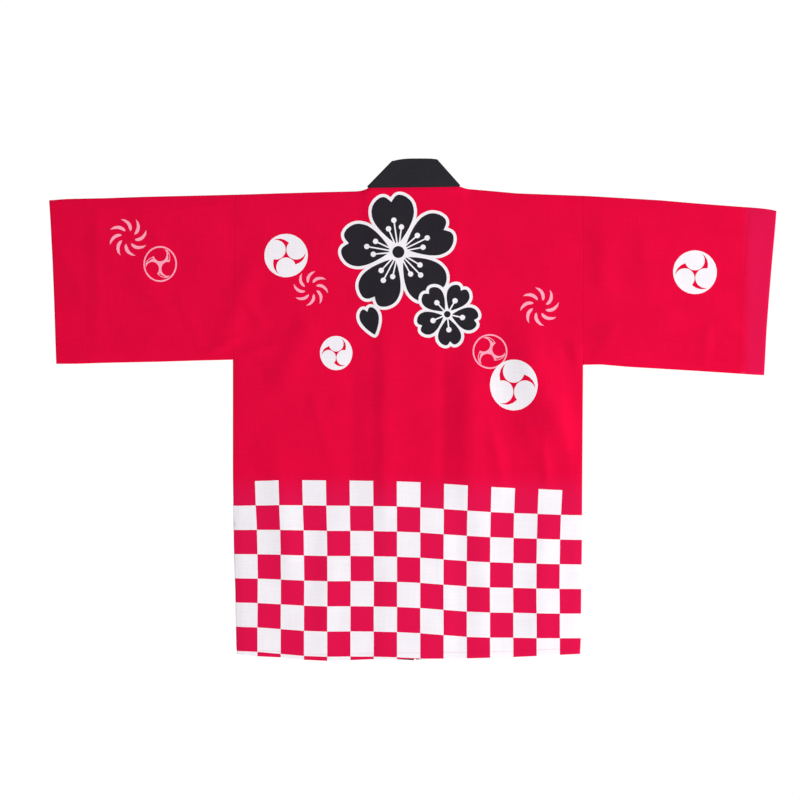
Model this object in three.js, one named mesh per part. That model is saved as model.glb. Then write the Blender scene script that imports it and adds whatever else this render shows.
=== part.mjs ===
// A happi coat, the short Japanese festival coat, laid flat on its front with its back up.
// Millimetres. X runs across the sleeves, Y from hem to collar, Z up from the surface it lies on.
// Six pieces are cut and sewn: the back, two fronts, two sleeves and one long collar band.
// Left and right are those of a person who looks down on the coat.
import * as THREE from "three";

// Thicknesses and gaps.
const WALL = 1.2; // the cotton, as a solid wall
const BAND = 2.4; // the collar band, several layers of cotton
const SEAM = 0.3; // clear between two pieces that are sewn together
const LOFT = 0.8; // air between the back and the fronts where nothing lies between them
const EDGE_LOFT = 0.3; // the same along the side and shoulder seams, where they are pressed flat
const TURN = 0.5; // inner radius of the collar's folds

// The collar band.
const MIDDLE = 4; // X of the middle of the collar
const BAND_WIDTH = 49.6; // across the band
const BAND_APART = 4; // clear between its two ends, down the front
const NECK_Y = 401; // the seam that joins the collar to the back
const NECK_TILT = 0.0135; // how much that seam rises to the right
const NAPE_TOP = 451.4; // the band's free edge behind the neck
const NAPE_LOW_HALF = 79.7; // half the length of the band's sewn edge behind the neck
const NAPE_HIGH_HALF = 33.5; // half the length of its free edge there
const BAND_SLOPE = 0.092; // how fast the two halves draw together on the front
const MEET_Y = 94.5; // where they have come together
const MEET_EASE = 60; // half the length over which they do so
const BAND_END_Y = -449.6; // its two ends, a little below the back's hem

// The outline, in short tables. Each is run through from end to end by the function curve.
const SHOULDER_LEFT = [
  { x: -654.8, y: 377.4 },
  { x: -623.3, y: 379.9 },
  { x: -554.9, y: 381.2 },
  { x: -482.9, y: 383.7 },
  { x: -374.9, y: 386.2 },
  { x: -302.9, y: 388.0 },
  { x: -230.9, y: 390.3 },
  { x: -158.9, y: 392.3 },
  { x: -101.3, y: 393.6 },
  { x: -86.9, y: 395.7 },
  { x: -79.0, y: 399.8 },
];
const SHOULDER_RIGHT = [
  { x: 86.0, y: 402.0 },
  { x: 93.1, y: 398.3 },
  { x: 121.9, y: 395.9 },
  { x: 154.3, y: 393.0 },
  { x: 186.7, y: 390.0 },
  { x: 251.5, y: 387.6 },
  { x: 316.3, y: 385.1 },
  { x: 381.1, y: 381.3 },
  { x: 445.9, y: 377.4 },
  { x: 510.7, y: 371.8 },
  { x: 575.5, y: 366.8 },
  { x: 640.3, y: 362.3 },
  { x: 654.8, y: 358.2 },
];
const UNDERARM_LEFT = [
  { x: -641.9, y: 82.7 },
  { x: -605.3, y: 82.8 },
  { x: -562.1, y: 84.3 },
  { x: -454.1, y: 86.6 },
  { x: -389.3, y: 88.6 },
  { x: -324.0, y: 90.2 },
];
const UNDERARM_RIGHT = [
  { x: 306.7, y: 81.0 },
  { x: 337.9, y: 81.6 },
  { x: 388.3, y: 77.3 },
  { x: 438.7, y: 74.3 },
  { x: 514.3, y: 69.8 },
  { x: 564.7, y: 66.5 },
  { x: 615.1, y: 63.1 },
  { x: 632.5, y: 62.4 },
];
const CUFF_LEFT = [
  { x: -641.9, y: 82.7 },
  { x: -643.5, y: 134.7 },
  { x: -645.5, y: 195.9 },
  { x: -648.7, y: 273.3 },
  { x: -652.1, y: 339.9 },
  { x: -654.8, y: 377.4 },
];
const CUFF_RIGHT = [
  { x: 632.5, y: 62.4 },
  { x: 636.8, y: 146.4 },
  { x: 641.0, y: 200.4 },
  { x: 647.1, y: 272.4 },
  { x: 652.0, y: 326.4 },
  { x: 654.8, y: 358.2 },
];
const SIDE_LEFT = [
  { y: -439.6, x: -316.5 },
  { y: -425.0, x: -317.8 },
  { y: -324.0, x: -319.7 },
  { y: -243.0, x: -322.3 },
  { y: -118.0, x: -324.0 },
  { y: 90.2, x: -324.0 },
  { y: 388.0, x: -320.0 },
];
const SIDE_RIGHT = [
  { y: -439.4, x: 301.3 },
  { y: -414.0, x: 302.6 },
  { y: -338.0, x: 303.3 },
  { y: -243.0, x: 304.6 },
  { y: -108.0, x: 305.3 },
  { y: 72.0, x: 306.7 },
  { y: 386.0, x: 306.4 },
];
const HEM = [
  { x: -316.5, y: -439.6 },
  { x: -280.4, y: -443.6 },
  { x: -239.0, y: -445.6 },
  { x: -195.8, y: -450.0 },
  { x: -154.4, y: -451.8 },
  { x: -113.0, y: -450.6 },
  { x: -71.6, y: -448.8 },
  { x: 13.0, y: -448.1 },
  { x: 97.6, y: -447.4 },
  { x: 180.4, y: -445.1 },
  { x: 265.0, y: -441.1 },
  { x: 301.3, y: -439.4 },
];

// Soft folds of the upper layer: a ridge runs from one point to the other, with a rounded section.
const FOLDS = [
  { x0: 228, y0: 134, x1: 300, y1: -44, wide: 17, high: 3.2 },
  { x0: 196, y0: 24, x1: 256, y1: -118, wide: 16, high: 2.2 },
  { x0: 138, y0: 10, x1: 176, y1: -112, wide: 15, high: 2.2 },
  { x0: -372, y0: 130, x1: -262, y1: 262, wide: 18, high: 2.0 },
  { x0: -322, y0: 84, x1: -226, y1: 140, wide: 15, high: 2.0 },
  { x0: -250, y0: -60, x1: -214, y1: -330, wide: 22, high: 1.6 },
  { x0: 118, y0: -170, x1: 128, y1: -440, wide: 22, high: 1.6 },
  { x0: -150, y0: -200, x1: -160, y1: -446, wide: 22, high: 1.5 },
  { x0: 238, y0: -190, x1: 226, y1: -436, wide: 22, high: 1.5 },
  { x0: 392, y0: 250, x1: 560, y1: 210, wide: 20, high: 1.5 },
  { x0: -560, y0: 300, x1: -420, y1: 160, wide: 22, high: 1.5 },
  { x0: 470, y0: 330, x1: 600, y1: 300, wide: 18, high: 1.4 },
];

// Where the lattice lines of the panels run. A front and the collar band share the rows of their bend.
const BACK_ROWS = [
  376, 345, 310, 275, 240, 208, 182, 155, 128, 102, 78, 52, 28, 0,
  -30, -60, -92, -124, -156, -190, -224, -258, -292, -326, -360, -394, -425,
];
const BEND_ROWS = [155, 138, 121, 104, 87, 70, 52, 34];
const FRONT_ROWS = [345, 250, ...BEND_ROWS, -118, -243, -324];
const BACK_STRIPS = 9; // from the side seam to the collar's seam
const FRONT_STRIPS = 3;
const ROUNDED = [
  { inward: 0, drop: 0.75 },
  { inward: 0.4, drop: 0.22 },
  { inward: 1.2, drop: 0 },
];

const lerp = (a, b, t) => a + (b - a) * t;
const clamp = (t) => Math.min(1, Math.max(0, t));
const smooth = (t) => clamp(t) ** 2 * (3 - 2 * clamp(t));

// The value of one column of a table at a value of another, straight between the rows.
function curve(table, from, to) {
  const rows = [...table].sort((a, b) => a[from] - b[from]);
  return (at) => {
    const next = rows.findIndex((row) => row[from] >= at);
    if (next < 0) return rows[rows.length - 1][to];
    if (next === 0) return rows[0][to];
    const [a, b] = [rows[next - 1], rows[next]];
    return lerp(a[to], b[to], (at - a[from]) / (b[from] - a[from]));
  };
}

const shoulder = { left: curve(SHOULDER_LEFT, "x", "y"), right: curve(SHOULDER_RIGHT, "x", "y") };
const underarm = { left: curve(UNDERARM_LEFT, "x", "y"), right: curve(UNDERARM_RIGHT, "x", "y") };
const cuff = { left: curve(CUFF_LEFT, "y", "x"), right: curve(CUFF_RIGHT, "y", "x") };
const side = { left: curve(SIDE_LEFT, "y", "x"), right: curve(SIDE_RIGHT, "y", "x") };
const hem = curve(HEM, "x", "y");
const neck = (x) => NECK_Y + NECK_TILT * (x - MIDDLE);
const sign = { left: -1, right: 1 };
const armpitY = { left: 90.2, right: 81.0 };

// The upper end of the back at X: the shoulders, and the neck seam between them.
function backTop(x) {
  if (x < SHOULDER_LEFT[SHOULDER_LEFT.length - 1].x) return shoulder.left(x);
  if (x > SHOULDER_RIGHT[0].x) return shoulder.right(x);
  return neck(x) - SEAM / 2;
}

// From the middle of the collar to the seam between the band and a front, at height Y.
function seamOffset(y) {
  const above = y - MEET_Y;
  const eased = above < -MEET_EASE ? 0 : above > MEET_EASE ? above : (above + MEET_EASE) ** 2 / (4 * MEET_EASE);
  return BAND_APART / 2 + BAND_WIDTH + SEAM / 2 + BAND_SLOPE * eased;
}
const seamX = (which, y) => MIDDLE + sign[which] * seamOffset(y);

// The height that the soft folds add at a point.
function foldHeight(x, y) {
  let high = 0;
  for (const fold of FOLDS) {
    const [dx, dy] = [fold.x1 - fold.x0, fold.y1 - fold.y0];
    const length = Math.hypot(dx, dy);
    const along = ((x - fold.x0) * dx + (y - fold.y0) * dy) / length ** 2;
    const across = ((x - fold.x0) * dy - (y - fold.y0) * dx) / length;
    high += fold.high * Math.exp(-((across / fold.wide) ** 2) - (2 * (along - 0.5)) ** 4);
  }
  return high;
}

// The underside of the back: over the fronts, over the collar band's two halves, and up to the nape.
function backUnder(x, y) {
  const edges = [x - side.left(y), side.right(y) - x];
  const sewnSide = y < Math.max(armpitY.left, armpitY.right) + 6;
  const fromTop = backTop(x) - y;
  const overBand = 1 - smooth((Math.abs(x - MIDDLE) - seamOffset(y)) / 26);
  const fromEdge = Math.min(sewnSide ? Math.min(...edges) : Infinity, overBand > 0.5 ? Infinity : fromTop);
  const pressed = lerp(EDGE_LOFT, LOFT, smooth(fromEdge / 12));
  const nape = overBand * smooth(1 - fromTop / 32);
  const free = smooth(fromEdge / 40);
  return WALL + pressed + overBand * (BAND - WALL) + nape * 0.8 + free * foldHeight(x, y);
}

// A closed solid between two sheets of points with the same lattice. With wrap, the lattice is a tube.
function slab(over, under, wrap = false) {
  const rows = over.length;
  const width = over[0].length;
  const points = [...over.flat(), ...under.flat()];
  const upper = (i, j) => i * width + (j % width);
  const lower = (i, j) => rows * width + upper(i, j);
  const faces = [];
  const quad = (a, b, c, d) => faces.push([a, b, c], [a, c, d]);
  const strips = wrap ? width : width - 1;
  for (let i = 0; i < rows - 1; i++) {
    for (let j = 0; j < strips; j++) {
      quad(upper(i, j), upper(i + 1, j), upper(i + 1, j + 1), upper(i, j + 1));
      quad(lower(i, j), lower(i, j + 1), lower(i + 1, j + 1), lower(i + 1, j));
    }
  }
  for (let j = 0; j < strips; j++) {
    quad(upper(0, j), upper(0, j + 1), lower(0, j + 1), lower(0, j));
    quad(upper(rows - 1, j + 1), upper(rows - 1, j), lower(rows - 1, j), lower(rows - 1, j + 1));
  }
  if (!wrap) {
    for (let i = 0; i < rows - 1; i++) {
      quad(upper(i + 1, 0), upper(i, 0), lower(i, 0), lower(i + 1, 0));
      quad(upper(i, width - 1), upper(i + 1, width - 1), lower(i + 1, width - 1), lower(i, width - 1));
    }
  }
  return closed(points, faces);
}

// A geometry from points and faces, turned so that its faces point out.
function closed(points, faces) {
  let volume = 0;
  for (const [a, b, c] of faces) {
    const cross = new THREE.Vector3().crossVectors(points[b], points[c]);
    volume += points[a].dot(cross);
  }
  const order = volume > 0 ? faces : faces.map(([a, b, c]) => [a, c, b]);
  const geometry = new THREE.BufferGeometry();
  geometry.setAttribute("position", new THREE.Float32BufferAttribute(points.flatMap((p) => [p.x, p.y, p.z]), 3));
  geometry.setIndex(order.flat());
  geometry.computeVertexNormals();
  return geometry;
}

// How far an edge's rounding lowers a lattice point, by its place from either end of a row.
function edgeDrop(index, count) {
  const place = Math.min(index, count - 1 - index);
  return place < ROUNDED.length ? ROUNDED[place].drop : 0;
}

// The Y values of a panel's rows along one of its columns.
function rowsDown(top, inner, bottom) {
  const first = ROUNDED.map((edge) => top - edge.inward);
  const last = ROUNDED.map((edge) => bottom + edge.inward).reverse();
  return [...first, top - 11, ...inner, ...last];
}

// The back: columns from side seam to side seam, with one on each edge of the collar band below.
function makeBack() {
  const left = [];
  const right = [];
  for (const edge of ROUNDED) {
    left.push((y) => side.left(y) + SEAM / 2 * (y > armpitY.left) + edge.inward);
    right.push((y) => side.right(y) - SEAM / 2 * (y > armpitY.right) - edge.inward);
  }
  for (const [list, which] of [[left, "left"], [right, "right"]]) {
    const start = (y) => side[which](y) - sign[which] * 12;
    for (let n = 0; n <= BACK_STRIPS; n++) list.push((y) => lerp(start(y), seamX(which, y), n / BACK_STRIPS));
    list.push((y) => seamX(which, y) - sign[which] * BAND_WIDTH / 2);
    list.push((y) => seamX(which, y) - sign[which] * (BAND_WIDTH + SEAM / 2));
  }
  const columns = [...left, () => MIDDLE, ...right.reverse()];
  const down = columns.map((columnX) => rowsDown(backTop(columnX(NECK_Y)), BACK_ROWS, hem(columnX(-445))));
  const over = [];
  const under = [];
  for (let i = 0; i < down[0].length; i++) {
    const line = columns.map((columnX, j) => new THREE.Vector3(columnX(down[j][i]), down[j][i], 0));
    under.push(line.map((p) => new THREE.Vector3(p.x, p.y, backUnder(p.x, p.y))));
    over.push(line.map((p, j) => {
      const drop = Math.max(edgeDrop(i, down[0].length), edgeDrop(j, columns.length));
      return new THREE.Vector3(p.x, p.y, backUnder(p.x, p.y) + WALL - drop);
    }));
  }
  return slab(over, under);
}

// A front lies flat, its outer face down: from its side seam to the collar band's seam.
function makeFront(which) {
  const s = sign[which];
  const columns = ROUNDED.map((edge) => (y) => side[which](y) - s * (edge.inward + SEAM / 2 * (y > armpitY[which])));
  for (let n = 1; n < FRONT_STRIPS; n++) {
    columns.push((y) => lerp(side[which](y), seamX(which, y), n / FRONT_STRIPS));
  }
  for (const edge of [...ROUNDED].reverse()) {
    columns.push((y) => seamX(which, y) + s * (SEAM / 2 + edge.inward));
  }
  const top = (x) => Math.min(backTop(x), neck(x) - SEAM);
  const down = columns.map((columnX) => rowsDown(top(columnX(NECK_Y)), FRONT_ROWS, hem(columnX(-445)) + 3));
  const over = [];
  const under = [];
  for (let i = 0; i < down[0].length; i++) {
    const line = columns.map((columnX, j) => [columnX(down[j][i]), down[j][i]]);
    over.push(line.map(([x, y]) => new THREE.Vector3(x, y, WALL)));
    under.push(line.map(([x, y], j) => {
      const drop = Math.max(edgeDrop(i, down[0].length), edgeDrop(j, columns.length));
      return new THREE.Vector3(x, y, drop);
    }));
  }
  return slab(over, under);
}

// A sleeve is a flat tube: an upper and a lower wall, joined by a round fold at the shoulder and underarm.
function makeSleeve(which) {
  const s = sign[which];
  const outerTurn = WALL + LOFT / 2;
  const stations = [0, 0.035, 0.1, 0.18, 0.26, 0.34, 0.42, 0.5, 0.58, 0.66, 0.74, 0.82, 0.9, 0.965, 1];
  const upperSteps = 12;
  const lowerSteps = 4;
  const foldSteps = 4;
  // A point of the sleeve seen from above: u from cuff to armhole, v from underarm to shoulder.
  const flat = (u, v) => {
    const lowX = lerp(cuff[which](-Infinity), side[which](armpitY[which]) + s * SEAM / 2, u);
    const highX = lerp(cuff[which](Infinity), side[which](386) + s * SEAM / 2, u);
    const low = underarm[which](lowX);
    const high = shoulder[which](highX);
    const y = lerp(low, high, v);
    const cuffX = cuff[which](y);
    const bow = (cuffX - lerp(cuff[which](-Infinity), cuff[which](Infinity), v)) * (1 - u);
    return [lerp(lowX, highX, v) + bow, y];
  };
  const outer = [];
  const inner = [];
  for (const u of stations) {
    const high = flat(u, 1)[1];
    const low = flat(u, 0)[1];
    const ring = { outer: [], inner: [] };
    const put = (v, shiftOuter, shiftInner, zOuter, zInner) => {
      const [x, y] = flat(u, v);
      ring.outer.push(new THREE.Vector3(x, y + shiftOuter, zOuter));
      ring.inner.push(new THREE.Vector3(x, y + shiftInner, zInner));
    };
    const inset = outerTurn / (high - low);
    const armhole = smooth((1 - u) * 12);
    for (let n = 0; n <= upperSteps; n++) {
      const v = lerp(inset, 1 - inset, n / upperSteps);
      const [x, y] = flat(u, v);
      const free = smooth((y - low) / 40) * smooth((high - y) / 40);
      const lift = free * foldHeight(x, y);
      put(v, 0, 0, 2 * outerTurn + lift, WALL + LOFT + lift);
    }
    for (let n = 1; n < foldSteps; n++) {
      const angle = Math.PI * n / foldSteps;
      put(1 - inset, outerTurn * Math.sin(angle), LOFT / 2 * Math.sin(angle),
        outerTurn * (1 + Math.cos(angle)), outerTurn + LOFT / 2 * Math.cos(angle));
    }
    for (let n = 0; n <= lowerSteps; n++) put(lerp(1 - inset, inset, n / lowerSteps), 0, 0, 0, WALL);
    for (let n = 1; n < foldSteps; n++) {
      const angle = Math.PI * n / foldSteps;
      put(inset, -outerTurn * Math.sin(angle), -LOFT / 2 * Math.sin(angle),
        outerTurn * (1 - Math.cos(angle)), outerTurn - LOFT / 2 * Math.cos(angle));
    }
    outer.push(ring.outer);
    inner.push(ring.inner);
  }
  return slab(outer, inner, true);
}

// The collar band: up one front, over a slanted fold, behind the neck, over the other fold and down.
function makeCollar() {
  const turn = TURN + BAND / 2; // the middle of the wall, round a fold
  const foldZ = BAND + TURN;
  const napeZ = 2 * foldZ - BAND / 2;
  const foldSteps = 8;
  const across = [
    { at: 0, thick: 0.45 },
    { at: 0.012, thick: 0.85 },
    { at: 0.035, thick: 1 },
    { at: 0.5, thick: 1 },
    { at: 0.965, thick: 1 },
    { at: 0.988, thick: 0.85 },
    { at: 1, thick: 0.45 },
  ];
  // Each section has the points of the band's sewn and free edges, and the way its outer face looks.
  const half = (s) => {
    const sections = [];
    const sewnFold = new THREE.Vector2(MIDDLE + s * NAPE_LOW_HALF, neck(MIDDLE + s * NAPE_LOW_HALF) + SEAM / 2);
    const freeFold = new THREE.Vector2(MIDDLE + s * NAPE_HIGH_HALF, NAPE_TOP - 1);
    const lean = freeFold.clone().sub(sewnFold).normalize();
    const out = new THREE.Vector2(s * lean.y, -s * lean.x);
    // From the hem up to the fold, on the front.
    const ends = [
      ...[BAND_END_Y, -300, -150, ...[...BEND_ROWS].reverse(), 215].map((y) => [y, y]),
      [290, 294],
      [340, 362],
      [376, 412],
    ];
    for (const [sewnY, freeY] of ends) {
      const sewn = new THREE.Vector2(MIDDLE + s * (seamOffset(sewnY) - SEAM / 2), sewnY);
      const free = new THREE.Vector2(MIDDLE + s * (seamOffset(freeY) - SEAM / 2 - BAND_WIDTH), freeY);
      sections.push({ sewn, free, z: BAND / 2, faceOut: 0, faceUp: -1, out });
    }
    for (let n = 0; n <= foldSteps; n++) {
      const angle = Math.PI * n / foldSteps;
      const shift = out.clone().multiplyScalar(turn * Math.sin(angle));
      sections.push({
        sewn: sewnFold.clone().add(shift),
        free: freeFold.clone().add(shift),
        z: foldZ - turn * Math.cos(angle),
        faceOut: Math.sin(angle),
        faceUp: -Math.cos(angle),
        out,
      });
    }
    for (const t of [0.8, 0.5, 0.2]) {
      const lowX = lerp(MIDDLE, sewnFold.x, t);
      sections.push({
        sewn: new THREE.Vector2(lowX, neck(lowX) + SEAM / 2),
        free: new THREE.Vector2(lerp(MIDDLE, freeFold.x, t), lerp(NAPE_TOP, freeFold.y, t ** 2)),
        z: napeZ,
        faceOut: 0,
        faceUp: 1,
        out,
      });
    }
    return sections;
  };
  const sections = [...half(-1), ...half(1).reverse()];
  const over = [];
  const under = [];
  for (const { sewn, free, z, faceOut, faceUp, out } of sections) {
    const face = new THREE.Vector3(out.x * faceOut, out.y * faceOut, faceUp);
    const line = across.map(({ at, thick }) => {
      const middle = new THREE.Vector3(lerp(sewn.x, free.x, at), lerp(sewn.y, free.y, at), z);
      return [middle, face.clone().multiplyScalar(BAND / 2 * thick)];
    });
    over.push(line.map(([middle, half]) => middle.clone().add(half)));
    under.push(line.map(([middle, half]) => middle.clone().sub(half)));
  }
  return slab(over, under);
}

const RED = new THREE.MeshStandardMaterial({ color: 0xe00838, roughness: 0.85 });
const BLACK = new THREE.MeshStandardMaterial({ color: 0x2c2930, roughness: 0.8 });

const coat = new THREE.Group();
coat.name = "happi_coat";
function add(name, geometry, material) {
  const mesh = new THREE.Mesh(geometry, material);
  mesh.name = name;
  coat.add(mesh);
}
add("back", makeBack(), RED);
add("front_left", makeFront("left"), RED);
add("front_right", makeFront("right"), RED);
add("sleeve_left", makeSleeve("left"), RED);
add("sleeve_right", makeSleeve("right"), RED);
add("collar", makeCollar(), BLACK);

export default coat;
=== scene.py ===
# %% [markdown]
# # A happi coat, laid flat with its back up
# A happi is the short cotton coat of a Japanese festival. This one is red, with a red and white check over
# its lower half, small white motifs, large black flowers on the back and a black collar band.
# It lies on its front, so the back, the upper halves of the sleeves and the nape of the collar show.
# Each cell makes one thing: a size, a finish, a motif or a cut piece. The cloth is cut on the flat with its
# print, as a maker would cut it, and is then laid in the form that the solid model gives.

# %% The solid model, as a fixed frame
import math
from collections import namedtuple

import bmesh
import bpy
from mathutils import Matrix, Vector, geometry, kdtree, noise


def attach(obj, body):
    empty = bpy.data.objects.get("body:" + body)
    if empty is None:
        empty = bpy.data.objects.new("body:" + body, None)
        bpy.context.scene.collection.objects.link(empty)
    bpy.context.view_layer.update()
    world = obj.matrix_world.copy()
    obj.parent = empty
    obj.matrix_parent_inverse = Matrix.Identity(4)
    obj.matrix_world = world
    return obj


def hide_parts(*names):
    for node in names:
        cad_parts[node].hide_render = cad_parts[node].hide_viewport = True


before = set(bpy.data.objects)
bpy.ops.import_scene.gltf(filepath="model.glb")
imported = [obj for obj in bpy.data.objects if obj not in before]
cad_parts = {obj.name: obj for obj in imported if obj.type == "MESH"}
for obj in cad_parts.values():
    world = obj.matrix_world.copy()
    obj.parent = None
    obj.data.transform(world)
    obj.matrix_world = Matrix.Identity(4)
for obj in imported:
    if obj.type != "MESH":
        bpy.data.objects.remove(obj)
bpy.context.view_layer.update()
MM = 0.001

# %% [markdown]
# ## The camera
# The coat is seen from straight above. A camera high over it, with a narrow angle, shows it almost without
# perspective, as the photograph does. The view is 1440 mm wide, so each of the 800 pixels is 1.8 mm.

# %% Camera
MM_PER_PIXEL = 1.8
PICTURE_SIDE = 800
COAT_MIDDLE_PIXEL = (412.8, 409.85)
CAMERA_HEIGHT = 3.2
CLOTH_HEIGHT = 3 * MM  # where the picture's scale is true
view_width = MM_PER_PIXEL * PICTURE_SIDE * MM

camera = bpy.data.objects.new("camera", bpy.data.cameras.new("camera"))
camera.data.sensor_width = 36
camera.data.lens = camera.data.sensor_width * CAMERA_HEIGHT / view_width
camera.location = (
    (PICTURE_SIDE / 2 - COAT_MIDDLE_PIXEL[0]) * MM_PER_PIXEL * MM,
    (COAT_MIDDLE_PIXEL[1] - PICTURE_SIDE / 2) * MM_PER_PIXEL * MM,
    CAMERA_HEIGHT + CLOTH_HEIGHT,
)
bpy.context.scene.collection.objects.link(camera)
bpy.context.scene.camera = camera
print("Camera at", [round(v, 4) for v in camera.location], "lens", round(camera.data.lens, 1), "mm")

# %% [markdown]
# ## Colours and nodes
# Colours are written as they look on a screen, in hex. The renderer works in linear light, so one function
# turns them. Each material is a small tree of nodes, and one other function adds a node with its settings
# and its links, so that a material reads as a list of what it is made of.


# %% Two helpers for materials
def linear(hex_colour):
    """A screen colour such as #e00838, as linear red, green, blue and alpha."""
    parts = [int(hex_colour[n : n + 2], 16) / 255 for n in (1, 3, 5)]
    return [v / 12.92 if v <= 0.04045 else ((v + 0.055) / 1.055) ** 2.4 for v in parts] + [1]


def add(tree, kind, settings={}, links={}):
    """Adds one node. Settings are sockets or properties, and links lead to the outputs of other nodes."""
    node = tree.nodes.new("ShaderNode" + kind)
    for key, value in settings.items():
        if isinstance(key, str) and hasattr(node, key):
            setattr(node, key, value)
        else:
            node.inputs[key].default_value = value
    for key, output in links.items():
        tree.links.new(output, node.inputs[key])
    return node


def emptied(block):
    """The node tree of a material or a world, without the nodes that it starts with."""
    block.use_nodes = True
    block.node_tree.nodes.clear()
    return block.node_tree


print("Screen red in linear light:", [round(v, 3) for v in linear("#e00838")])

# %% [markdown]
# ## Printed cotton
# The coat is plain weave cotton, about 160 grams a square metre. Its threads are 0.5 mm apart, which is a
# quarter of a pixel here, so the weave is drawn at 1 mm, as coarse as it needs to show from near by.
# Three things make it cloth to the eye: warp and weft that pass over each other, slubs, where a thread is a
# little thicker for a few centimetres, and the small creases that an iron leaves. All are bump or slight
# changes of colour, and they follow the cloth's own flat coordinates, so they bend with it.
# Cotton has hardly any gloss: its fibres scatter light, so it is rough, with a very low specular level and a
# little sheen in its own colour at grazing angles.

# %% The weave
THREAD = 1 * MM
WAVE_PERIOD = 2 * math.pi / 20  # the wave texture's own period at scale 1
SLUB_LONG = 45 * MM
SLUB_WIDE = 2.5 * MM


def weave(tree, cloth):
    """Warp and weft, which change places in each square of a fine check."""
    wave = {"Scale": WAVE_PERIOD / THREAD, "Distortion": 0.6, "Detail Scale": 2}
    threads = []
    for direction in "XY":
        bands = add(tree, "TexWave", {"bands_direction": direction, **wave}, {"Vector": cloth})
        threads.append(bands.outputs["Fac"])
    over = add(tree, "TexChecker", {"Scale": 1 / THREAD}, {"Vector": cloth})
    both = {"Factor": over.outputs["Fac"], "A": threads[0], "B": threads[1]}
    return add(tree, "Mix", {}, both).outputs[0]


def slubs(tree, cloth):
    """The stretches where a thread is thicker, along the warp and along the weft."""
    ways = []
    for size in [(SLUB_LONG, SLUB_WIDE, 1), (SLUB_WIDE, SLUB_LONG, 1)]:
        stretch = add(tree, "Mapping", {"Scale": [1 / s for s in size]}, {"Vector": cloth})
        slub = add(tree, "TexNoise", {"Scale": 1, "Detail": 2}, {"Vector": stretch.outputs["Vector"]})
        ways.append(slub.outputs["Fac"])
    return add(tree, "Math", {"operation": "ADD"}, {0: ways[0], 1: ways[1]}).outputs[0]


print("The weave is drawn at", THREAD / MM, "mm, and a slub is", SLUB_LONG / MM, "mm long")

# %% The dye
PATCH = 60 * MM  # the size of the patches where the dye is a little lighter or darker


def dyed(tree, cloth, uneven, colour, shade, change):
    """The colour, which wanders to its shade where the threads and the dye are uneven."""
    wander = add(tree, "TexNoise", {"Scale": 1 / PATCH, "Detail": 3}, {"Vector": cloth})
    total = add(tree, "Math", {"operation": "ADD"}, {0: uneven, 1: wander.outputs["Fac"]})
    part = add(tree, "MapRange", {"From Min": 1.15, "From Max": 1.85}, {"Value": total.outputs[0]})
    ends = {6: linear(colour), 7: linear(shade), "data_type": "RGBA"}
    dye = add(tree, "Mix", ends, {"Factor": part.outputs["Result"]})
    if change:
        axis, start, end, other = change
        place = add(tree, "SeparateXYZ", {}, {"Vector": cloth})
        span = {"From Min": start * MM, "From Max": end * MM, "interpolation_type": "SMOOTHSTEP"}
        changed = add(tree, "MapRange", span, {"Value": place.outputs[axis]})
        dye = add(
            tree, "Mix", {7: linear(other), "data_type": "RGBA"},
            {"Factor": changed.outputs["Result"], 6: dye.outputs[2]},
        )
    return dye.outputs[2]


print("The dye is uneven in patches of about", PATCH / MM, "mm")

# %% Cotton
SLUB_DEPTH = 0.02
WEAVE_DEPTH = 0.05
CREASE = 16 * MM
COTTON_IOR = 1.53


def cotton(name, colour, shade, fuzz=0.06, crease_depth=0.1, change=None):
    """Plain weave cotton. Its colour wanders to the shade, which is a few parts in a hundred darker.
    It may also change along the cloth's X or Y, between two places in millimetres, to another colour."""
    material = bpy.data.materials.new(name)
    tree = emptied(material)
    cloth = add(tree, "TexCoord").outputs["UV"]
    thicker = slubs(tree, cloth)
    crumple = {"Scale": 1 / CREASE, "Detail": 2, "Roughness": 0.45, "Distortion": 0.5}
    creases = add(tree, "TexNoise", crumple, {"Vector": cloth})
    relief = {}
    for height, strength, depth in [
        (creases.outputs["Fac"], 1, crease_depth),
        (thicker, 1, SLUB_DEPTH),
        (weave(tree, cloth), 0.4, WEAVE_DEPTH),
    ]:
        bump = add(tree, "Bump", {"Strength": strength, "Distance": depth * MM}, {"Height": height, **relief})
        relief = {"Normal": bump.outputs["Normal"]}
    surface = {
        "Roughness": 0.92,
        "IOR": COTTON_IOR,
        "Specular IOR Level": 0.04,
        "Sheen Weight": fuzz,
        "Sheen Roughness": 0.6,
        "Sheen Tint": linear(colour),
    }
    links = {"Base Color": dyed(tree, cloth, thicker, colour, shade, change), **relief}
    shader = add(tree, "BsdfPrincipled", surface, links)
    add(tree, "OutputMaterial", {}, {"Surface": shader.outputs["BSDF"]})
    return material


print("Cotton's refractive index:", COTTON_IOR)
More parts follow.
